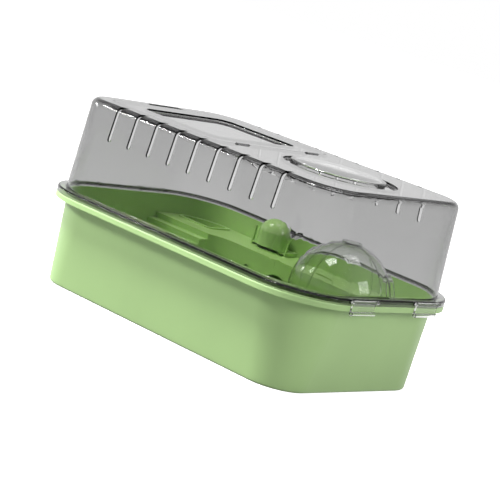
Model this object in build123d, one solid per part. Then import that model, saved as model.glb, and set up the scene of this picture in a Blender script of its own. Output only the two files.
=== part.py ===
from build123d import *
import os
from math import asin, cos, degrees, radians, sin, sqrt

# Hamster cage: a moulded tub, a clear clipped cover with a hinged hatch and a round lid,
# and a furnished inside with a shelf, stairs, a feeder and a domed house.
# Millimetres, +Z up, the long side along X, the front towards -Y.
# The origin is the middle of the tub's underside.

# Rim, shared by the tub and the cover
length = 470.0
width = 319.0
rim_corner = 85.0

# Tub
tub_height = 114.0
tub_wall = 2.5
tub_floor = 3.0
overhang = 13.7
tub_draft = 10.7
foot_corner = 47.0
foot_edge = 3.0
foot_rim = 14.0
foot_recess = 1.0
lip_drop = 6.9
lip_edge = 1.6
upstand_height = 3.0
seat_gap = 0.5

# Cover
cover_height = 123.4
cover_wall = 2.5
cover_top = 3.0
flange_height = 7.2
flange_reach = 10.6
flange_edge = 2.4
flange_root = 2.0
cover_lean = 11.6
crown_corner = 47.6
crown_edge = 9.2

# Air slots over the long top edges
slot_count = 9
slot_pitch = 34.1
slot_width = 5.4
slot_foot = 41.0
slot_onto_top = 4.0

# Hinged hatch in the left half of the top, placed from the cover's left end and long sides
hatch_end = 47.0
hatch_side = 50.2
hatch_land = 34.3
hatch_corner = 20.0
hatch_plate = 3.0
hatch_gap = 0.6
hatch_drop = 0.3
ledge_width = 5.0
ledge_wall = 2.4
pan_margin = 30.0
pan_depth = 3.4
pan_wall = 2.4
pan_corner = 18.0
pan_edge = 1.2
finger_length = 64.0
finger_depth = 9.0

# Hatch hinges
hinge_back = 3.0
hinge_sink = 1.0
hinge_inset = 43.3
knuckle_radius = 2.5
knuckle_length = 13.0
ear_length = 4.0
pin_radius = 1.2
pin_gap = 0.05
side_gap = 0.3

# Round lid in the right half of the top, in a moat placed from the cover's right end
lid_offset = 3.5
lid_radius = 58.5
lid_rise = 2.6
lid_wall = 2.5
lid_crown = 1.4
lid_edge = 1.2
moat_end = 56.5
moat_radius = 70.5
moat_depth = 3.2
port_radius = 53.0
plug_gap = 0.5
plug_depth = 6.0

# Side clips, two on each short side
clip_side = 98.5
clip_width = 42.0
clip_plate = 2.2
clip_radius = 2.3
clip_gap = 0.4
curl_radius = 2.6
curl_bore = 1.4
curl_drop = 1.4
lug_length = 3.5

# Shelf along the back wall, with a landing at its left end
shelf_drop = 21.2
shelf_plate = 3.0
shelf_depth = 84.3
landing_step = 14.2
landing_run = 117.5
sweep_run = 32.9
shelf_gap = 0.6
shelf_seam = -14.0
seam_gap = 0.3
lap_width = 9.0
lap_plate = 2.0
rib_plate = 2.5
rib_end = 105.0
rib_arch = 22.0
door_x = -4.7
door_radius = 30.0
door_drop = 15.1
hole_x = -54.8
hole_width = 8.5
hole_drop = 16.8
hole_height = 22.0
vent_left = 33.6
vent_right = 66.6
vent_step = 26.8
vent_width = 7.6

# Stairs from the landing down to the floor
tread = 14.7
rise = 7.5
stair_plate = 2.5

# Food bowl let into the landing
bowl_run = 89.0
bowl_reach = 67.5
bowl_margin = 9.0
bowl_corner = 6.0
bowl_wall = 1.8
bowl_depth = 14.0
bowl_rim = 3.0
bowl_lip = 1.5
bowl_gap = 0.4

# Gravity feeder on the shelf
feeder_x = -58.2
feeder_back = 42.0
tank_radius = 20.0
tank_wall = 2.0
tank_foot = 5.3
tank_height = 19.4
cap_height = 17.0
cap_plug = 4.0
cap_gap = 0.3
dish_radius = 16.5
dish_rim = 3.4
dish_lip = 1.4
dish_depth = 10.0
dish_wall = 1.6
dish_gap = 0.4
bracket_width = 58.0
bracket_front = 6.5
bracket_plate = 2.4
post_depth = 3.0
post_height = 25.0

# Domed house on the floor, beside the right-hand wall and in front of the shelf
house_gap = 2.4
house_step = 9.4
dome_radius = 61.1
dome_level = 102.2
foot_radius = 55.5
dome_wall = 2.0
tray_radius = 56.5
tray_plate = 2.4
tray_ring = 6.5
tray_wall = 2.0
tray_gap = 0.4
dome_ribs = 8
dome_rib_width = 2.0
dome_rib_height = 0.8
dome_rib_foot = 84.0
twin_rib = -45.0
twin_offset = 2.6
window_azimuth = 22.0
window_tilt = 20.0
window_radius = 16.0
window_ring = 3.0
window_depth = 7.0
entry_radius = 24.0
entry_height = 58.0
vent_hole = 8.0
vent_cap_radius = 11.0
vent_cap_plate = 2.6
vent_cap_teeth = 18
vent_cap_notch = 1.5
vent_cap_gap = 0.3

# Heights that several pieces share
flange_top = tub_height + flange_height
top_z = tub_height + cover_height
hinge_z = top_z - hinge_sink
shelf_top = tub_height - shelf_drop
shelf_under = shelf_top - shelf_plate
door_top = shelf_under - door_drop
hole_top = shelf_under - hole_drop
dome_top = dome_level + dome_radius

# Places on the cover
moat_x = length / 2 - moat_end - moat_radius
lid_x = moat_x - lid_offset
hatch_left = hatch_end - length / 2
hatch_right = moat_x - moat_radius - hatch_land
hatch_half = width / 2 - hatch_side
hinge_x = hatch_right + hinge_back
hinge_spread = hatch_half - hinge_inset
clip_spread = width / 2 - clip_side

# Places inside the tub
shelf_front = width / 2 - shelf_depth
landing_front = shelf_front - landing_step
landing_end = landing_run - length / 2
sweep_end = landing_end + sweep_run
rib_x = length / 2 - rib_end
vent_y = shelf_front + vent_step
bowl_right = bowl_run - length / 2
bowl_front = width / 2 - bowl_reach
feeder_y = width / 2 - feeder_back
house_x = length / 2 - overhang - tub_draft - tub_wall - house_gap - tray_radius
house_y = shelf_front - house_step - dome_radius

# How a block or cylinder stands at its place
STANDING = (Align.CENTER, Align.CENTER, Align.MIN)
HANGING = (Align.CENTER, Align.CENTER, Align.MAX)


def outline(inset, corner, z):
    """The rim's plan, moved in by inset, as a face at height z."""
    return Plane.XY.offset(z) * RectangleRounded(length - 2 * inset, width - 2 * inset, corner)


def between(low, high):
    """A straight-sided solid from one outline up to another."""
    return loft([low.face(), high.face()], ruled=True)


def tub_inset(z):
    return overhang + tub_draft * (1 - z / tub_height)


def tub_corner(z):
    return foot_corner + (rim_corner - overhang - foot_corner) * z / tub_height


def tub_space(low, high, gap):
    """The inside of the tub between two heights, kept gap away from its walls."""
    skin = tub_wall + gap
    floor_line = outline(tub_inset(low) + skin, tub_corner(low) - skin, low)
    roof_line = outline(tub_inset(high) + skin, tub_corner(high) - skin, high)
    return between(floor_line, roof_line)


def cover_share(z):
    return (z - flange_top) / (top_z - flange_top)


def cover_inset(z):
    return flange_reach + cover_lean * cover_share(z)


def cover_corner(z):
    foot = rim_corner - flange_reach
    return foot + (crown_corner - foot) * cover_share(z)


def cover_block(low, high, skin, crown):
    """The cover's form between two heights, skin in from its outer face, with a rounded crown."""
    foot_line = outline(cover_inset(low) + skin, cover_corner(low) - skin, low)
    crown_line = outline(cover_inset(high) + skin, cover_corner(high) - skin, high)
    block = between(foot_line, crown_line)
    return fillet(block.edges().group_by(Axis.Z)[-1], crown)


def along_y(radius, run, x, y, z):
    """A round bar along Y, centred on a point."""
    return Pos(x, y, z) * Rot(90, 0, 0) * Cylinder(radius, run)


def make_base_tub():
    """Tapered tub with a flat lip turned down all round and a low upstand that the cover fits over."""
    foot_line = outline(tub_inset(0), tub_corner(0), 0)
    body = between(foot_line, outline(overhang, rim_corner - overhang, tub_height))
    body = fillet(body.edges().group_by(Axis.Z)[0], foot_edge)
    lip = extrude(outline(0, rim_corner, tub_height - lip_drop), lip_drop)
    lip = fillet(lip.edges().group_by(Axis.Z)[-1], lip_edge)
    under_lip = outline(tub_wall, rim_corner - tub_wall, tub_height - lip_drop)
    lip -= extrude(under_lip, lip_drop - tub_wall)
    stand_inset = cover_inset(tub_height + upstand_height) + cover_wall + seat_gap
    stand_line = outline(stand_inset, rim_corner - stand_inset, tub_height)
    stand = extrude(stand_line, upstand_height)
    inside = tub_space(tub_floor, tub_height + upstand_height, 0)
    foot = extrude(outline(tub_inset(0) + foot_rim, tub_corner(0) - foot_rim, 0), foot_recess)
    return body + lip + stand - inside - foot


def hatch_outline(grow, z):
    """The hatch's plan, grown outwards, at height z."""
    across = hatch_right - hatch_left
    plan = RectangleRounded(across + 2 * grow, 2 * (hatch_half + grow), hatch_corner + grow)
    return Pos((hatch_left + hatch_right) / 2, 0, z) * plan


def air_slot(x, side):
    """Cutters for one slot: up the wall, over the crown and a little way onto the top."""
    inner = width / 2 - cover_inset(top_z) - crown_edge - slot_onto_top
    run = width / 2 - inner
    foot = top_z - slot_foot
    tall = slot_foot + cover_top
    bar = Pos(x, side * (inner + run / 2), foot + tall / 2) * Box(slot_width, run, tall)
    low_end = along_y(slot_width / 2, run, x, side * (inner + run / 2), foot)
    top_end = Pos(x, side * inner, foot + tall / 2) * Cylinder(slot_width / 2, tall)
    return bar + low_end + top_end


def air_slots():
    """The cutters for both rows of slots, front and back."""
    places = [(index - (slot_count - 1) / 2) * slot_pitch for index in range(slot_count)]
    return [air_slot(x, side) for side in (-1, 1) for x in places]


def hinge_ears(y):
    """Two ears that stand on the cover beside one hatch knuckle."""
    offset = knuckle_length / 2 + side_gap + ear_length / 2
    return [along_y(knuckle_radius, ear_length, hinge_x, y + side * offset, hinge_z) for side in (-1, 1)]


def hinge_bore(y):
    """The hole for one hinge pin, through its ears and knuckle."""
    run = knuckle_length + 4 * ear_length
    return along_y(pin_radius + pin_gap, run, hinge_x, y, hinge_z)


def knuckle_notch(y):
    """Room in the cover's top for one hatch knuckle to turn in."""
    low_x = hatch_right
    high_x = hinge_x + knuckle_radius + hatch_gap
    run = knuckle_length + 2 * side_gap
    deep = knuckle_radius + hinge_sink + ledge_wall
    box = Box(high_x - low_x + ledge_width, run, 2 * deep)
    return Pos((low_x + high_x - ledge_width) / 2, y, top_z) * box


def clip_pivot():
    """Where the clips' trunnions turn, on the right-hand short side."""
    return length / 2 + clip_gap + clip_radius, flange_top - clip_radius


def clip_lug(side, y):
    """One drilled lug on the flange, at one end of a clip."""
    x, z = clip_pivot()
    eye = along_y(clip_radius, lug_length, side * x, y, z)
    root = length / 2 - tub_wall
    web = Pos(side * (x + root) / 2, y, z) * Box(x - root, lug_length, 2 * clip_radius)
    return eye + web


def lug_places():
    """The centre of each lug, as a side and a place along Y."""
    offset = clip_width / 2 + side_gap + lug_length / 2
    return [(side, end * clip_spread + way * offset)
            for side in (-1, 1) for end in (-1, 1) for way in (-1, 1)]


def cover_walls():
    """The cover's leaning walls and top, with the hollow flange round their foot."""
    block = cover_block(tub_height, top_z, 0, crown_edge)
    flange = extrude(outline(0, rim_corner, tub_height), flange_height)
    flange = fillet(flange.edges().group_by(Axis.Z)[-1], flange_edge)
    channel_line = outline(cover_wall, rim_corner - cover_wall, tub_height)
    flange -= extrude(channel_line, flange_height - cover_wall)
    walls = block + flange
    shoulder = walls.faces().filter_by(Axis.Z).group_by(Axis.Z)[-2][0]
    foot = shoulder.inner_wires()[0].edges()
    walls = fillet(walls.edges().filter_by(lambda edge: edge in foot), flange_root)
    inside = cover_block(tub_height, top_z - cover_top, cover_wall, crown_edge - cover_wall)
    return walls - inside


def hatch_frame():
    """The frame under the hatch's edge, and the cutters for its recess, hole and finger scoop."""
    seat_z = top_z - hatch_plate - hatch_drop
    frame_low = seat_z - ledge_wall
    frame = extrude(hatch_outline(hatch_gap + ledge_wall, frame_low), cover_top)
    recess = extrude(hatch_outline(hatch_gap, seat_z), 2 * hatch_plate)
    hole = extrude(hatch_outline(-ledge_width, frame_low - ledge_wall), 2 * (top_z - frame_low))
    scoop_line = Pos(hatch_left - hatch_gap, 0, seat_z) * SlotOverall(finger_length, 2 * finger_depth, 90)
    scoop = extrude(scoop_line, 2 * hatch_plate)
    scoop_floor = Pos(hatch_left - hatch_gap, 0, frame_low) * extrude(
        SlotOverall(finger_length + 2 * ledge_wall, 2 * (finger_depth + ledge_wall), 90), cover_top)
    return [frame, scoop_floor], [recess, hole, scoop]


def lid_seat():
    """The sunk seat under the round lid, and the cutters for its moat and port."""
    seat_low = top_z - moat_depth - cover_wall
    seat = Pos(moat_x, 0, seat_low) * Cylinder(moat_radius + cover_wall, moat_depth, align=STANDING)
    moat = Pos(moat_x, 0, top_z) * Cylinder(moat_radius, 2 * moat_depth)
    port = Pos(lid_x, 0, top_z) * Cylinder(port_radius, 4 * (moat_depth + cover_wall))
    return [seat], [moat, port]


def make_cover_shell():
    """Clear moulded cover: flange, leaning walls, slotted crown, hatch frame and lid seat."""
    frame, frame_cuts = hatch_frame()
    seat, seat_cuts = lid_seat()
    pivot_x, pivot_z = clip_pivot()
    hinges = (-hinge_spread, hinge_spread)
    shell = cover_walls() + frame + seat + [clip_lug(side, y) for side, y in lug_places()]
    notches = [knuckle_notch(y) for y in hinges]
    shell = shell - (frame_cuts + seat_cuts + air_slots() + notches)
    shell = shell + [ear for y in hinges for ear in hinge_ears(y)]
    eyes = [along_y(pin_radius + pin_gap, 2 * lug_length, side * pivot_x, y, pivot_z)
            for side, y in lug_places()]
    return shell - ([hinge_bore(y) for y in hinges] + eyes)


def make_top_hatch():
    """Hatch plate with a shallow sunk pan and two hinge knuckles on its right-hand edge."""
    hatch = extrude(hatch_outline(0, top_z - hatch_plate), hatch_plate)
    pan_low = top_z - pan_depth - pan_wall
    middle = (hatch_left + hatch_right) / 2
    pan_long = hatch_right - hatch_left - 2 * pan_margin
    pan_wide = 2 * (hatch_half - pan_margin)
    belly = RectangleRounded(pan_long + 2 * pan_wall, pan_wide + 2 * pan_wall, pan_corner + pan_wall)
    hatch += extrude(Pos(middle, 0, pan_low) * belly, top_z - pan_low)
    pan = extrude(Pos(middle, 0, top_z - pan_depth) * RectangleRounded(pan_long, pan_wide, pan_corner),
                  2 * pan_depth)
    pan = fillet(pan.edges().group_by(Axis.Z)[0], pan_edge)
    hatch -= pan
    for y in (-hinge_spread, hinge_spread):
        knuckle = along_y(knuckle_radius, knuckle_length, hinge_x, y, hinge_z)
        arm_x = hinge_x - hinge_back / 2
        arm = Pos(arm_x, y, top_z - hatch_plate / 2) * Box(hinge_back, knuckle_length, hatch_plate)
        hatch += knuckle + arm
        hatch -= hinge_bore(y)
    return hatch


def make_hinge_pin(y):
    """Steel pin through two ears and the knuckle between them."""
    run = knuckle_length + 2 * side_gap + 2 * ear_length
    return along_y(pin_radius, run, hinge_x, y, hinge_z)


def make_round_lid():
    """Round lid that stands proud of its moat, slightly domed, with a plug ring underneath."""
    low = top_z - moat_depth
    high = top_z + lid_rise
    side = Polyline((0, high + lid_crown), (0, low), (lid_radius, low), (lid_radius, high))
    crown_middle = (lid_radius / 2, high + 3 * lid_crown / 4)
    crown = ThreePointArc((lid_radius, high), crown_middle, (0, high + lid_crown))
    lid = revolve(Plane.XZ * make_face(side + crown), Axis.Z)
    lid = fillet(lid.edges().filter_by(lambda edge: edge.is_closed).group_by(Axis.Z)[-1], lid_edge)
    plug_radius = port_radius - plug_gap
    lid += Pos(0, 0, low) * Cylinder(plug_radius, plug_depth, align=HANGING)
    cup = Cylinder(plug_radius - lid_wall, high - lid_wall - low + plug_depth, align=STANDING)
    return Pos(lid_x, 0, 0) * (lid - Pos(0, 0, low - plug_depth) * cup)


def make_clip(side, y):
    """Clear clip that hangs from its trunnions over the flange and lip and ends in a curl."""
    x, z = clip_pivot()
    curl_x = length / 2 + clip_gap + curl_radius
    curl_z = tub_height - lip_drop - curl_drop
    barrel = along_y(clip_radius, clip_width, x, 0, z)
    plate_x = length / 2 + clip_gap + clip_plate / 2
    plate = Pos(plate_x, 0, (z + curl_z) / 2) * Box(clip_plate, clip_width, z - curl_z)
    curl = along_y(curl_radius, clip_width, curl_x, 0, curl_z)
    trunnions = along_y(pin_radius, clip_width + 2 * (side_gap + lug_length), x, 0, z)
    clip = barrel + plate + curl + trunnions - along_y(curl_bore, clip_width, curl_x, 0, curl_z)
    if side < 0:
        clip = mirror(clip, Plane.YZ)
    return Pos(0, y, 0) * clip


def shelf_plan():
    """The shelf seen from above: a landing on the left that sweeps back to the main front."""
    reach = length
    sweep_step = shelf_front - landing_front
    sweep_run = sweep_end - landing_end
    sweep_radius = (sweep_run ** 2 + sweep_step ** 2) / (2 * sweep_step)
    landing = Rectangle(reach, reach, align=(Align.MAX, Align.MIN))
    main = Rectangle(2 * reach, reach, align=(Align.CENTER, Align.MIN))
    plan = Pos(sweep_end, landing_front) * landing + Pos(0, shelf_front) * main
    return plan - Pos(sweep_end, shelf_front - sweep_radius) * Circle(sweep_radius)


def bowl_plan(inset):
    """The food bowl's plan, which follows the tub's rounded corner, moved in by inset."""
    skin = tub_wall + bowl_margin
    corner = RectangleRounded(length - 2 * (tub_inset(shelf_top) + skin),
                              width - 2 * (tub_inset(shelf_top) + skin),
                              tub_corner(shelf_top) - skin)
    pocket = Rectangle(length, width, align=(Align.MAX, Align.MIN))
    plan = corner & (Pos(bowl_right, bowl_front) * pocket)
    core = offset(plan, -bowl_corner, kind=Kind.INTERSECTION)
    return offset(core, bowl_corner - inset, kind=Kind.ARC)


def shelf_openings():
    """Cutters for everything that passes through the shelf."""
    deep = 3 * shelf_plate
    cutters = Pos(0, 0, shelf_under - shelf_plate) * extrude(bowl_plan(-bowl_gap), deep)
    cutters += Pos(feeder_x, feeder_y, shelf_top) * Cylinder(dish_radius + dish_wall + dish_gap, deep)
    vent_x = (vent_left + vent_right) / 2
    vent = extrude(SlotOverall(vent_right - vent_left, vent_width), deep)
    cutters += Pos(vent_x, vent_y, shelf_under - shelf_plate) * vent
    wall_y = shelf_front + shelf_plate / 2
    door_z = door_top - door_radius
    cutters += along_y(door_radius, 3 * shelf_plate, door_x, wall_y, door_z)
    cutters += Pos(door_x, wall_y, door_z / 2) * Box(2 * door_radius, 3 * shelf_plate, door_z)
    hole_z = hole_top - hole_width / 2
    cutters += along_y(hole_width / 2, 3 * shelf_plate, hole_x, wall_y, hole_z)
    hole_run = hole_height - hole_width / 2
    cutters += Pos(hole_x, wall_y, hole_z - hole_run / 2) * Box(hole_width, 3 * shelf_plate, hole_run)
    return cutters


def shelf_rib(x):
    """Cross wall that carries the shelf, with an arch to walk through."""
    back = width / 2
    run = back - shelf_front
    rib = Pos(x, shelf_front + run / 2, shelf_under / 2) * Box(rib_plate, run, shelf_under)
    middle = (shelf_front + width / 2 - tub_inset(tub_floor) - tub_wall) / 2
    arch = Rot(0, 90, 0) * Cylinder(rib_arch, 3 * rib_plate)
    rib -= Pos(x, middle, tub_floor + rib_arch) * arch
    return rib - Pos(x, middle, tub_floor + rib_arch / 2) * Box(3 * rib_plate, 2 * rib_arch, rib_arch)


def whole_shelf():
    """Deck, front wall and ribs as one moulding, before it is parted at its seam."""
    deck = extrude(shelf_plan(), shelf_top)
    hollow = extrude(offset(shelf_plan(), -shelf_plate, kind=Kind.INTERSECTION), shelf_under)
    deck = deck - hollow + shelf_rib(-rib_x) + shelf_rib(rib_x)
    return (deck & tub_space(tub_floor, shelf_top, shelf_gap)) - shelf_openings()


def make_shelf_left():
    """Left half of the shelf: the landing, the bowl's pocket and the feeder's hole."""
    half = Box(length, width, 2 * shelf_top, align=(Align.MAX, Align.CENTER, Align.CENTER))
    return whole_shelf() & Pos(shelf_seam, 0, 0) * half


def make_shelf_right():
    """Right half of the shelf, with a tongue that carries the left half's edge."""
    half = Box(length, width, 2 * shelf_top, align=(Align.MIN, Align.CENTER, Align.CENTER))
    half = whole_shelf() & Pos(shelf_seam + seam_gap, 0, 0) * half
    tongue = Box(2 * lap_width, width, lap_plate, align=(Align.CENTER, Align.MIN, Align.MAX))
    tongue = Pos(shelf_seam, shelf_front + 2 * shelf_plate, shelf_under) * tongue
    return half + (tongue & tub_space(tub_floor, shelf_top, shelf_gap))


def make_stairs():
    """Hollow flight of steps from the landing down to the floor of the tub."""
    count = round((shelf_top - tub_floor) / rise)
    riser = (shelf_top - tub_floor) / count
    left = -length / 2
    run = landing_end - left
    steps = []
    for index in range(1, count):
        near = landing_front - index * tread
        steps.append(Pos(left, near, 0) * Box(run, tread, shelf_top - index * riser, align=Align.MIN))
    flight = steps[0] + steps[1:]
    slope = riser / tread
    skin = stair_plate * sqrt(1 + slope ** 2)
    high_y = landing_front - stair_plate
    high_z = shelf_top - riser - skin - slope * stair_plate
    low_y = high_y - (high_z - tub_floor) / slope
    hollow = Polyline((low_y, 0), (high_y, 0), (high_y, high_z), (low_y, tub_floor), close=True)
    flight -= extrude(Plane.YZ.offset(left) * make_face(hollow), run - stair_plate)
    return flight & tub_space(tub_floor, shelf_top, shelf_gap)


def make_food_bowl():
    """Lift-out food bowl that hangs by its rim in the landing."""
    bowl = Pos(0, 0, shelf_top - bowl_depth) * extrude(bowl_plan(0), bowl_depth)
    bowl += Pos(0, 0, shelf_top) * extrude(bowl_plan(-bowl_rim), bowl_lip)
    inside = extrude(bowl_plan(bowl_wall), 2 * bowl_depth)
    inside = fillet(inside.edges().group_by(Axis.Z)[0], bowl_wall)
    return bowl - Pos(0, 0, shelf_top - bowl_depth + bowl_wall) * inside


def make_feeder_dish():
    """Round dish under the tank, hung by its lip in the shelf."""
    dish = Cylinder(dish_radius + dish_wall, dish_depth, align=HANGING)
    dish += Cylinder(dish_radius + dish_rim, dish_lip, align=STANDING)
    inside = Cylinder(dish_radius, 2 * dish_depth, align=STANDING)
    inside = fillet(inside.edges().group_by(Axis.Z)[0], dish_wall)
    dish -= Pos(0, 0, dish_wall - dish_depth) * inside
    return Pos(feeder_x, feeder_y, shelf_top) * dish


def make_feeder_tank():
    """Open-ended round tank that lets food down into the dish."""
    tank = Cylinder(tank_radius, tank_height, align=STANDING)
    tank -= Cylinder(tank_radius - tank_wall, tank_height, align=STANDING)
    return Pos(feeder_x, feeder_y, shelf_top + tank_foot) * tank


def low_dome(radius, height):
    """A solid dome with the given radius at its foot and the given height, standing on z = 0."""
    ball = (radius ** 2 + height ** 2) / (2 * height)
    start = degrees(asin((ball - height) / ball))
    side = Polyline((0, height), (0, 0), (radius, 0))
    crown = CenterArc((0, height - ball), ball, start, 90 - start)
    return revolve(Plane.XZ * make_face(side + crown), Axis.Z)


def make_feeder_cap():
    """Domed cap that lifts off the tank, with a plug ring that keeps it centred."""
    plug_radius = tank_radius - tank_wall - cap_gap
    bore = plug_radius - tank_wall
    cap = low_dome(tank_radius, cap_height) + Cylinder(plug_radius, cap_plug, align=HANGING)
    cap = cap - low_dome(bore, cap_height - tank_wall) - Cylinder(bore, cap_plug, align=HANGING)
    return Pos(feeder_x, feeder_y, shelf_top + tank_foot + tank_height) * cap


def make_feeder_bracket():
    """Saddle that the tank stands on, with side walls down to the shelf and two posts in front."""
    saddle_top = shelf_top + tank_foot
    front_y = feeder_y - bracket_front
    run = bracket_front + tank_radius
    saddle = Pos(feeder_x, front_y, saddle_top) * Box(
        bracket_width, run, bracket_plate, align=(Align.CENTER, Align.MIN, Align.MAX))
    bracket = saddle - Pos(feeder_x, feeder_y, saddle_top) * Cylinder(dish_radius, 3 * bracket_plate)
    for side in (-1, 1):
        wall = Pos(feeder_x + side * (bracket_width - bracket_plate) / 2, front_y, shelf_top)
        corner = (Align.CENTER, Align.MIN, Align.MIN)
        bracket += wall * Box(bracket_plate, run, tank_foot, align=corner)
        bracket += wall * Box(bracket_plate, post_depth, post_height, align=corner)
    return bracket


def dome_profile(skin, low):
    """Solid of revolution with the dome's outer form, moved in by skin, from height low up."""
    radius = dome_radius - skin
    side = Polyline((0, dome_level + radius), (0, low), (foot_radius - skin, low), (radius, dome_level))
    crown = CenterArc((0, dome_level), radius, 0, 90)
    return revolve(Plane.XZ * make_face(side + crown), Axis.Z)


def dome_rib(angle, shift):
    """Raised rib that runs up the dome along one meridian."""
    slab = Box(dome_radius * 2, dome_rib_width, dome_radius * 3, align=(Align.MIN, Align.CENTER, Align.MIN))
    slab = Pos(vent_cap_radius + vent_cap_gap, shift, dome_rib_foot) * slab
    return Rot(0, 0, angle) * slab


def window_frame():
    """Plane of the side window, facing out of the dome."""
    turn = radians(window_azimuth)
    tilt = radians(window_tilt)
    out = Vector(cos(tilt) * cos(turn), cos(tilt) * sin(turn), sin(tilt))
    centre = Vector(0, 0, dome_level) + out * (dome_radius - dome_wall)
    return Plane(origin=centre, z_dir=out)


def make_dome_shell():
    """Clear domed drum with meridian ribs, a ringed side window and a low doorway."""
    low = tub_floor + tray_plate
    skin = dome_profile(0, low)
    ribs = Part()
    for index in range(dome_ribs):
        angle = index * 360 / dome_ribs
        if angle == 360 + twin_rib:
            ribs += dome_rib(angle, -twin_offset) + dome_rib(angle, twin_offset)
        else:
            ribs += dome_rib(angle, 0)
    shell = skin + (ribs & dome_profile(-dome_rib_height, dome_rib_foot))
    frame = window_frame()
    shell += frame * Cylinder(window_radius + window_ring, window_depth)
    shell -= dome_profile(dome_wall, low)
    shell -= frame * Cylinder(window_radius, 3 * window_depth)
    shell -= Pos(0, 0, dome_top) * Cylinder(vent_hole, dome_radius)
    entry = along_y(entry_radius, dome_radius, 0, -dome_radius, low + entry_height - entry_radius)
    doorway = Box(2 * entry_radius, dome_radius, entry_height - entry_radius, align=STANDING)
    entry += Pos(0, -dome_radius, low) * doorway
    return Pos(house_x, house_y, 0) * (shell - entry)


def make_dome_tray():
    """Round tray on the floor with a ring that the dome's foot fits over."""
    ring_radius = foot_radius - dome_wall - tray_gap
    ring = Cylinder(ring_radius, tray_ring, align=STANDING)
    ring -= Cylinder(ring_radius - tray_wall, tray_ring, align=STANDING)
    tray = Cylinder(tray_radius, tray_plate, align=STANDING) + Pos(0, 0, tray_plate) * ring
    return Pos(house_x, house_y, tub_floor) * tray


def make_vent_cap():
    """Toothed cap in the crown of the dome, with a stem that plugs the hole."""
    disc = Circle(vent_cap_radius)
    for index in range(vent_cap_teeth):
        turn = Rot(0, 0, index * 360 / vent_cap_teeth)
        disc -= turn * Pos(vent_cap_radius, 0) * Rectangle(2 * vent_cap_notch, vent_cap_notch)
    rim_z = dome_level + sqrt(dome_radius ** 2 - vent_hole ** 2)
    cap = Pos(0, 0, rim_z) * extrude(disc, vent_cap_plate)
    stem_radius = vent_hole - vent_cap_gap
    cap += Pos(0, 0, rim_z) * Cylinder(stem_radius, 2 * dome_wall, align=HANGING)
    cap -= dome_profile(0, tub_floor) - Pos(0, 0, dome_top) * Cylinder(stem_radius, dome_radius)
    return Pos(house_x, house_y, 0) * cap


def all_pieces():
    """Every piece by its name."""
    pieces = {
        "base_tub": make_base_tub(),
        "cover_shell": make_cover_shell(),
        "top_hatch": make_top_hatch(),
        "hatch_pin_front": make_hinge_pin(-hinge_spread),
        "hatch_pin_back": make_hinge_pin(hinge_spread),
        "round_lid": make_round_lid(),
        "shelf_left": make_shelf_left(),
        "shelf_right": make_shelf_right(),
        "stair_flight": make_stairs(),
        "food_bowl": make_food_bowl(),
        "feeder_bracket": make_feeder_bracket(),
        "feeder_dish": make_feeder_dish(),
        "feeder_tank": make_feeder_tank(),
        "feeder_cap": make_feeder_cap(),
        "dome_tray": make_dome_tray(),
        "dome_shell": make_dome_shell(),
        "dome_vent_cap": make_vent_cap(),
    }
    for side, side_name in ((-1, "left"), (1, "right")):
        for end, end_name in ((-1, "front"), (1, "back")):
            pieces[f"clip_{side_name}_{end_name}"] = make_clip(side, end * clip_spread)
    return pieces


os.makedirs("parts", exist_ok=True)
for name, piece in all_pieces().items():
    export_step(piece, f"parts/{name}.step")
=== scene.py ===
from math import cos, radians, sin

import bpy
from mathutils import Matrix, Vector


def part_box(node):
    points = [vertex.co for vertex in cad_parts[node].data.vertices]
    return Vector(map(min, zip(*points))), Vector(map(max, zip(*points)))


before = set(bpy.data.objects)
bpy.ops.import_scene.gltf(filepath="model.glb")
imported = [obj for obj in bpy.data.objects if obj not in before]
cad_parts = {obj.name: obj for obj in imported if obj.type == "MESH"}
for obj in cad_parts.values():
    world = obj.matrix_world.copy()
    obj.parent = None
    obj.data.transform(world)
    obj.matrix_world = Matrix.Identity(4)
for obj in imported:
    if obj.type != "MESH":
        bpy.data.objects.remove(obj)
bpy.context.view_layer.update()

# Camera at the photograph's viewing angle, in metres and degrees
VIEW_AZIMUTH = 39.47
VIEW_ELEVATION = 9.82
VIEW_ROLL = -15.38
VIEW_DISTANCE = 2.2223
AIM_RIGHT = 0.00454
AIM_UP = -0.00902
CLIP_NEAR = 0.05
CLIP_FAR = 60.0
LENS_MM = 130.3
SENSOR_MM = 36.0

# Surround: white up to LOW_SKY and DIM_SKY above HIGH_SKY, two heights given as sines of elevation.
# Matt surfaces get WORLD_LIGHT from it.
WORLD_LIGHT = 0.22
LOW_SKY = 0.24
HIGH_SKY = 0.50
DIM_SKY = 0.24

# Floor: the camera sees FLOOR_PALE, while FLOOR_BOUNCE throws little light back on the part.
# The glow lifts it to white, so only the shadow shows.
FLOOR_SIZE = 14.0
FLOOR_PALE = 0.86
FLOOR_BOUNCE = 0.16
FLOOR_GLOW = 1.0 - FLOOR_PALE * WORLD_LIGHT

# Where the lamps aim, in metres
PART_MIDDLE = (0, 0, 0.1)
COVER_MIDDLE = (0, 0, 0.15)
DOME_FRONT = (0.13, -0.05, 0.12)

# Colours, as sRGB of 0 to 255
TUB_GREEN = (172, 206, 139)
# Painted shade: the tub's green, made darker and deeper, for its inward faces and the parts inside it,
# where the interior lies in shade
INSIDE_SHADED_GREEN = (152, 190, 108)
FEEDER_GREEN = (166, 202, 126)
STEEL_GREY = (180, 181, 184)
WHITE = (1, 1, 1, 1)

# Moulded green plastic: roughness with its share of variation, and the grain's depth in metres
PLASTIC_IOR = 1.5
TUB_ROUGHNESS = 0.38
INSIDE_ROUGHNESS = 0.33
FEEDER_ROUGHNESS = 0.09
SMOOTHEST = 0.85
ROUGHEST = 1.2
SATIN_GRAIN = 0.0002
GLOSSY_GRAIN = 0.00002
GRAIN_STRENGTH = 0.08

# How far from the middle, in metres, a face that looks in has to stand to be all inner green, the painted
# shade inside the tub
INWARD_SPAN = 0.02

# Flow streaks: shares of the colour in the deep and the pale ones
STREAK_DEEP = 0.96
STREAK_PALE = 1.03

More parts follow.
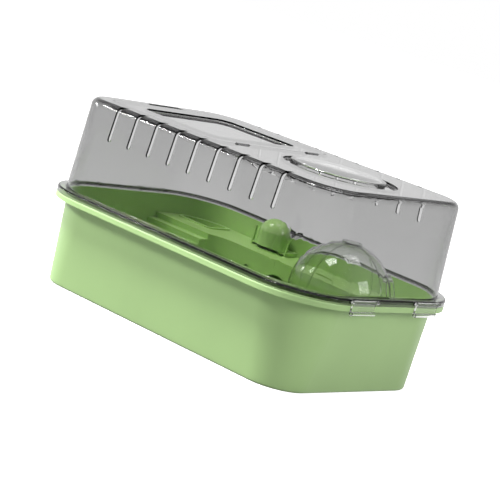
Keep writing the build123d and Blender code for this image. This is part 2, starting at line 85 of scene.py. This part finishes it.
# Clear plastic: absorption per metre, share of the reflection seen head on, and the most roughness
ACRYLIC_IOR = 1.49
SMOKE_DENSITY = 178.0
CLEAR_DENSITY = 22.0
CLIP_DENSITY = 6.0
FULL_SHINE = 1.0
FAINT_SHINE = 0.05
POLISHED = 0.02
RUBBED = 0.05

# Its surface ripple in metres, and the share of light that goes straight through a wall to matt surfaces
RIPPLE_STRENGTH = 0.10
RIPPLE_HEIGHT = 0.0006
WALL_PASSES = 0.92

# Roughness of drawn steel
STEEL_SMOOTHEST = 0.22
STEEL_ROUGHEST = 0.38

# Solid noise, in waves per metre, and the span that most of its values fall in
STREAK_WAVES = 9.0
GRAIN_WAVES = 900.0
WEAR_WAVES = 260.0
RIPPLE_WAVES = 14.0
STEEL_WAVES = 500.0
NOISE_LOW = 0.3
NOISE_HIGH = 0.7

# Sockets of the Mix node for colours, whose names repeat those for numbers
MIX_FACTOR = 0
MIX_COLOUR_A = 6
MIX_COLOUR_B = 7
MIX_COLOUR_RESULT = 2

# Light bounces: enough for rays through several clear walls
CLEAR_BOUNCES = 24
TRANSMISSION_BOUNCES = 20
GLOSSY_BOUNCES = 8
DIFFUSE_BOUNCES = 4


def linear(rgb, share=1.0):
    """An sRGB colour of 0 to 255 as Blender's linear one, times the share."""
    parts = [c / 255 for c in rgb]
    return [share * (c / 12.92 if c <= 0.04045 else ((c + 0.055) / 1.055) ** 2.4) for c in parts] + [1.0]


class Shader:
    """The emptied node tree of a material or world, with short ways to add and join its nodes."""

    def __init__(self, owner, output="OutputMaterial"):
        owner.use_nodes = True
        self.owner = owner
        self.tree = owner.node_tree
        self.tree.nodes.clear()
        self.output = self.add(output)

    def add(self, kind, **values):
        """A node of that kind with plain values on its inputs, named with underscores for spaces."""
        node = self.tree.nodes.new("ShaderNode" + kind)
        for name, value in values.items():
            node.inputs[name.replace("_", " ")].default_value = value
        return node

    def link(self, start, end):
        self.tree.links.new(start, end)

    def feed(self, value, socket):
        """Puts a number on the socket, or links another node's output to it."""
        if isinstance(value, float):
            socket.default_value = value
        else:
            self.link(value, socket)

    def combine(self, operation, first, second):
        """The Math node's result for two numbers or outputs."""
        node = self.add("Math")
        node.operation = operation
        self.feed(first, node.inputs[0])
        self.feed(second, node.inputs[1])
        return node.outputs[0]

    def mix(self, share, first, second):
        """The first number where the share is 0 and the second where it is 1."""
        node = self.add("Mix")
        self.link(share, node.inputs["Factor"])
        self.feed(first, node.inputs["A"])
        self.feed(second, node.inputs["B"])
        return node.outputs["Result"]

    def mix_colours(self, share, first, second):
        """The first colour where the share is 0 and the second where it is 1."""
        node = self.add("Mix")
        node.data_type = "RGBA"
        self.link(share, node.inputs[MIX_FACTOR])
        self.link(first, node.inputs[MIX_COLOUR_A])
        self.link(second, node.inputs[MIX_COLOUR_B])
        return node.outputs[MIX_COLOUR_RESULT]

    def ray_share(self, *kinds):
        """1 for rays of those kinds and 0 for all others."""
        path = self.add("LightPath")
        rays = [path.outputs[f"Is {kind} Ray"] for kind in kinds]
        share = rays[0]
        for ray in rays[1:]:
            share = self.combine("MAXIMUM", share, ray)
        return share

    def noise(self, waves, detail=3.0):
        """Solid noise in the part's own metres."""
        place = self.add("TexCoord")
        noise = self.add("TexNoise", Scale=waves, Detail=detail)
        self.link(place.outputs["Object"], noise.inputs["Vector"])
        return noise.outputs["Fac"]

    def ramp(self, noise, low, high):
        """The noise as a colour that runs from low to high."""
        ramp = self.add("ValToRGB")
        stops = ((NOISE_LOW, low), (NOISE_HIGH, high))
        for element, (position, colour) in zip(ramp.color_ramp.elements, stops):
            element.position = position
            element.color = colour
        self.link(noise, ramp.inputs["Fac"])
        return ramp.outputs["Color"]

    def span(self, noise, low, high):
        """The noise as a number that runs from low to high."""
        span = self.add("MapRange", From_Min=NOISE_LOW, From_Max=NOISE_HIGH, To_Min=low, To_Max=high)
        self.link(noise, span.inputs["Value"])
        return span.outputs["Result"]

    def bump(self, height, strength, distance):
        bump = self.add("Bump", Strength=strength, Distance=distance)
        self.link(height, bump.inputs["Height"])
        return bump.outputs["Normal"]


def new_material(name):
    """An empty material's shader."""
    return Shader(bpy.data.materials.new(name))


def flow_streaks(shader, rgb):
    """The colour with faint flow streaks in it."""
    return shader.ramp(shader.noise(STREAK_WAVES), linear(rgb, STREAK_DEEP), linear(rgb, STREAK_PALE))


def inward_shade_share(shader):
    """1 on faces that look in towards the middle of the part, 0 on those that look out: the mask for the
    painted shade inside the tub.
    """
    place = shader.add("NewGeometry")
    flat = shader.add("VectorMath")
    flat.operation = "MULTIPLY"
    flat.inputs[1].default_value = (1, 1, 0)
    shader.link(place.outputs["Position"], flat.inputs[0])
    dot = shader.add("VectorMath")
    dot.operation = "DOT_PRODUCT"
    shader.link(flat.outputs["Vector"], dot.inputs[0])
    shader.link(place.outputs["True Normal"], dot.inputs[1])
    share = shader.add("MapRange", From_Min=0.0, From_Max=-INWARD_SPAN)
    shader.link(dot.outputs["Value"], share.inputs["Value"])
    return share.outputs["Result"]


def moulded_plastic(name, rgb, roughness, grain_depth=SATIN_GRAIN, inner_shaded_rgb=None):
    """Moulded plastic: faint flow streaks in the colour, fine grain in the gloss and surface, and painted
    shade on faces that look in when an inner colour is given.
    """
    shader = new_material(name)
    colour = flow_streaks(shader, rgb)
    if inner_shaded_rgb:
        # Painted shade: faces that look in take the darker inner colour
        colour = shader.mix_colours(inward_shade_share(shader), colour, flow_streaks(shader, inner_shaded_rgb))
    grain = shader.noise(GRAIN_WAVES, detail=2.0)
    gloss = shader.span(grain, SMOOTHEST * roughness, ROUGHEST * roughness)
    body = shader.add("BsdfPrincipled", IOR=PLASTIC_IOR)
    shader.link(colour, body.inputs["Base Color"])
    shader.link(gloss, body.inputs["Roughness"])
    shader.link(shader.bump(grain, GRAIN_STRENGTH, grain_depth), body.inputs["Normal"])
    shader.link(body.outputs["BSDF"], shader.output.inputs["Surface"])
    return shader.owner


def clear_plastic(name, density, shine, haze):
    """Polished clear plastic, tinted in depth, with the faint waviness of a thin moulding."""
    shader = new_material(name)
    tint = (shine, shine, shine, 1)
    body = shader.add("BsdfPrincipled", Base_Color=WHITE, Specular_Tint=tint,
                      Transmission_Weight=1.0, IOR=ACRYLIC_IOR)
    wear = shader.noise(WEAR_WAVES, detail=4.0)
    ripple = shader.noise(RIPPLE_WAVES, detail=1.0)
    shader.link(shader.span(wear, 0.0, haze), body.inputs["Roughness"])
    shader.link(shader.bump(ripple, RIPPLE_STRENGTH, RIPPLE_HEIGHT), body.inputs["Normal"])

    # Light reaches matt surfaces straight through the wall
    straight = shader.add("BsdfTransparent", Color=(WALL_PASSES, WALL_PASSES, WALL_PASSES, 1))
    surface = shader.add("MixShader")
    shader.link(shader.ray_share("Shadow", "Diffuse"), surface.inputs["Fac"])
    shader.link(body.outputs["BSDF"], surface.inputs[1])
    shader.link(straight.outputs["BSDF"], surface.inputs[2])
    shader.link(surface.outputs["Shader"], shader.output.inputs["Surface"])

    # A half grey takes off half of the density it is given
    smoke = shader.add("VolumeAbsorption", Color=(0.5, 0.5, 0.5, 1), Density=2 * density)
    shader.link(smoke.outputs["Volume"], shader.output.inputs["Volume"])
    return shader.owner


def steel():
    """Drawn steel wire."""
    shader = new_material("drawn_steel")
    body = shader.add("BsdfPrincipled", Base_Color=linear(STEEL_GREY), Metallic=1.0)
    gloss = shader.span(shader.noise(STEEL_WAVES), STEEL_SMOOTHEST, STEEL_ROUGHEST)
    shader.link(gloss, body.inputs["Roughness"])
    shader.link(body.outputs["BSDF"], shader.output.inputs["Surface"])
    return shader.owner


def dress():
    """Gives every CAD node its material."""
    # The tub's inward faces and the parts inside it take the darker inner green, which is painted shade
    tub = moulded_plastic("tub_green", TUB_GREEN, TUB_ROUGHNESS, inner_shaded_rgb=INSIDE_SHADED_GREEN)
    inside = moulded_plastic("inside_green", INSIDE_SHADED_GREEN, INSIDE_ROUGHNESS)
    feeder = moulded_plastic("feeder_green", FEEDER_GREEN, FEEDER_ROUGHNESS, GLOSSY_GRAIN)
    smoke = clear_plastic("clear_smoke", SMOKE_DENSITY, FAINT_SHINE, POLISHED)
    lid = clear_plastic("lid_clear", CLEAR_DENSITY, FULL_SHINE, RUBBED)
    clear = clear_plastic("clear", CLEAR_DENSITY, FULL_SHINE, POLISHED)
    clip = clear_plastic("clip_clear", CLIP_DENSITY, FAINT_SHINE, POLISHED)
    pins = steel()
    finishes = {
        tub: ["base_tub"],
        inside: ["shelf_left", "shelf_right", "stair_flight", "food_bowl", "feeder_bracket",
                 "feeder_dish", "dome_tray"],
        smoke: ["cover_shell", "top_hatch"],
        lid: ["round_lid"],
        clear: ["dome_shell", "dome_vent_cap"],
        clip: ["clip_left_front", "clip_left_back", "clip_right_front", "clip_right_back"],
        feeder: ["feeder_tank", "feeder_cap"],
        pins: ["hatch_pin_front", "hatch_pin_back"],
    }
    for material, nodes in finishes.items():
        for node in nodes:
            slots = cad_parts[node].data.materials
            slots.clear()
            slots.append(material)


def make_floor():
    """Plain pale floor that keeps the part's soft shadow."""
    bpy.ops.mesh.primitive_plane_add(size=FLOOR_SIZE, location=(0, 0, 0))
    floor = bpy.context.object
    floor.name = "floor"
    shader = new_material("floor_white")
    matt = shader.add("BsdfDiffuse")
    shade = shader.mix(shader.ray_share("Camera"), FLOOR_BOUNCE, FLOOR_PALE)
    shader.link(shade, matt.inputs["Color"])
    glow = shader.add("Emission")
    seen = shader.ray_share("Camera", "Glossy", "Transmission")
    shader.link(shader.combine("MULTIPLY", seen, FLOOR_GLOW), glow.inputs["Strength"])
    both = shader.add("AddShader")
    shader.link(matt.outputs["BSDF"], both.inputs[0])
    shader.link(glow.outputs["Emission"], both.inputs[1])
    shader.link(both.outputs["Shader"], shader.output.inputs["Surface"])
    floor.data.materials.append(shader.owner)


def make_world():
    """Studio surround: plain white to the camera, white low and dim high in reflections."""
    world = bpy.data.worlds.new("surround")
    bpy.context.scene.world = world
    shader = Shader(world, "OutputWorld")
    place = shader.add("TexCoord")
    split = shader.add("SeparateXYZ")
    shader.link(place.outputs["Generated"], split.inputs["Vector"])
    sky = shader.add("MapRange", From_Min=LOW_SKY, From_Max=HIGH_SKY, To_Min=1.0, To_Max=DIM_SKY)
    shader.link(split.outputs["Z"], sky.inputs["Value"])
    reflected = shader.ray_share("Glossy", "Transmission")
    unseen = shader.mix(reflected, WORLD_LIGHT, sky.outputs["Result"])
    back = shader.add("Background", Color=WHITE)
    shader.link(shader.mix(shader.ray_share("Camera"), unseen, 1.0), back.inputs["Strength"])
    shader.link(back.outputs["Background"], shader.output.inputs["Surface"])


def make_lamp(name, place, aim, size, power):
    """Soft square lamp at place that faces aim, in metres and watts."""
    data = bpy.data.lights.new(name, "AREA")
    data.size = size
    data.energy = power
    lamp = bpy.data.objects.new(name, data)
    bpy.context.scene.collection.objects.link(lamp)
    lamp.location = place
    lamp.rotation_mode = "QUATERNION"
    lamp.rotation_quaternion = (Vector(aim) - Vector(place)).to_track_quat("-Z", "Y")


def make_lamps():
    """Two lamps above, one at the right, one for the crown's highlight and a small one for the dome's."""
    make_lamp("key", place=(-0.73, -0.95, 2.75), aim=PART_MIDDLE, size=0.9, power=160.0)
    make_lamp("side", place=(2.6, 0.25, 1.5), aim=PART_MIDDLE, size=1.2, power=41.0)
    make_lamp("front", place=(-1.55, -1.33, 1.20), aim=COVER_MIDDLE, size=0.42, power=36.0)
    make_lamp("glint", place=(-1.5, -0.35, 0.5), aim=DOME_FRONT, size=0.16, power=2.2)
    make_lamp("top", place=(0.2, 0.5, 3.0), aim=PART_MIDDLE, size=1.2, power=34.0)


def make_camera():
    """Camera at the photograph's angle, rolled as it is there."""
    azimuth = radians(VIEW_AZIMUTH)
    elevation = radians(VIEW_ELEVATION)
    roll = radians(VIEW_ROLL)
    back = Vector((sin(azimuth) * cos(elevation), -cos(azimuth) * cos(elevation), sin(elevation)))
    right = Vector((cos(azimuth), sin(azimuth), 0))
    up = back.cross(right)
    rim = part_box("base_tub")[1].z
    aim = Vector((0, 0, rim)) + right * AIM_RIGHT + up * AIM_UP
    side = right * cos(roll) - up * sin(roll)
    top = right * sin(roll) + up * cos(roll)
    data = bpy.data.cameras.new("camera")
    data.lens = LENS_MM
    data.sensor_width = SENSOR_MM
    data.clip_start = CLIP_NEAR
    data.clip_end = CLIP_FAR
    camera = bpy.data.objects.new("camera", data)
    bpy.context.scene.collection.objects.link(camera)
    turn = Matrix((side, top, back)).transposed().to_4x4()
    camera.matrix_world = Matrix.Translation(aim + back * VIEW_DISTANCE) @ turn
    bpy.context.scene.camera = camera


def set_render():
    """Plain view transform, and the light bounces that clear walls need."""
    scene = bpy.context.scene
    scene.view_settings.view_transform = "Standard"
    scene.cycles.max_bounces = CLEAR_BOUNCES
    scene.cycles.transmission_bounces = TRANSMISSION_BOUNCES
    scene.cycles.transparent_max_bounces = CLEAR_BOUNCES
    scene.cycles.glossy_bounces = GLOSSY_BOUNCES
    scene.cycles.diffuse_bounces = DIFFUSE_BOUNCES


make_camera()
make_world()
make_floor()
make_lamps()
dress()
set_render()
